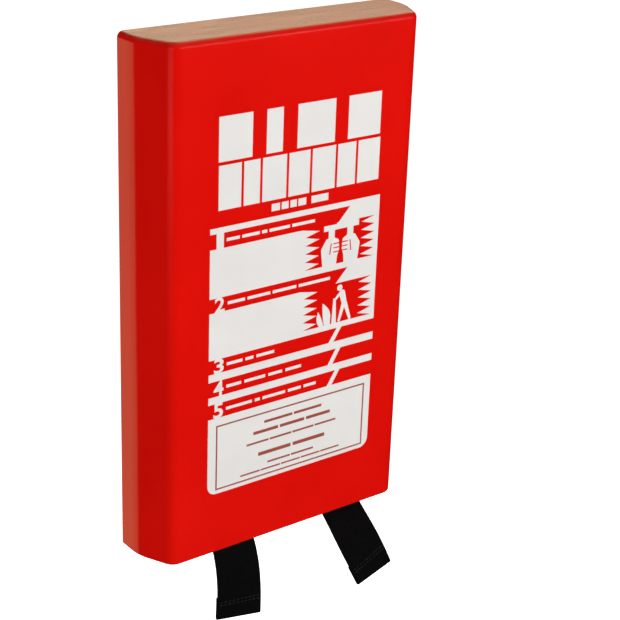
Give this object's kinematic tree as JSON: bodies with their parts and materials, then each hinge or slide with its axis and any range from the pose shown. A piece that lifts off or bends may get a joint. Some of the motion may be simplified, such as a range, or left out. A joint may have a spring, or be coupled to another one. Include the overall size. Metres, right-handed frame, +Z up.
{
  "type": "fire blanket in a wall case",
  "caption": "Folded glass-fibre fire blanket in a slim moulded wall case with an open mouth below, pulled out by hanging webbing tapes.",
  "frame": {"origin": "centre of the wall face, the flat back of the case, half way up the case", "axes": "+Z up; +Y out of the back, towards the wall; the printed front looks along -Y; +X to the viewer's right from the front"},
  "size_m": [0.18, 0.0566, 0.346],
  "materials": {
    "cover": "polished red moulding",
    "plate": "satin red moulding",
    "cloth": "woven glass fibre cloth, off-white",
    "webbing": "black woven polyester webbing",
    "thread": "black sewing thread",
    "print_white": "white screen-printing ink",
    "print_red": "red screen-printing ink"
  },
  "bodies": {
    "case": {"front_cover": "cover", "back_plate": "plate"},
    "blanket": {"blanket_cloth": "cloth", "tape_run_left": "webbing", "tape_run_right": "webbing", "blanket_seam_left": "thread", "blanket_seam_right": "thread"},
    "left_tape": {"pull_tape_left": "webbing", "hem_seam_left": "thread"},
    "right_tape": {"pull_tape_right": "webbing", "hem_seam_right": "thread"}
  },
  "joints": [
    {"name": "blanket_pull", "type": "slide", "parent": "case", "child": "blanket", "axis": [0, 0, -1], "range_m": [0, 0.3]},
    {"name": "left_tape_bend", "type": "hinge", "parent": "blanket", "child": "left_tape", "pos_m": [-0.0356, -0.03415, -0.1515], "axis": [-1, 0, 0], "range_deg": [-30, 60]},
    {"name": "right_tape_bend", "type": "hinge", "parent": "blanket", "child": "right_tape", "pos_m": [0.0441, -0.03415, -0.1515], "axis": [-1, 0, 0], "range_deg": [-45, 45]}
  ]
}
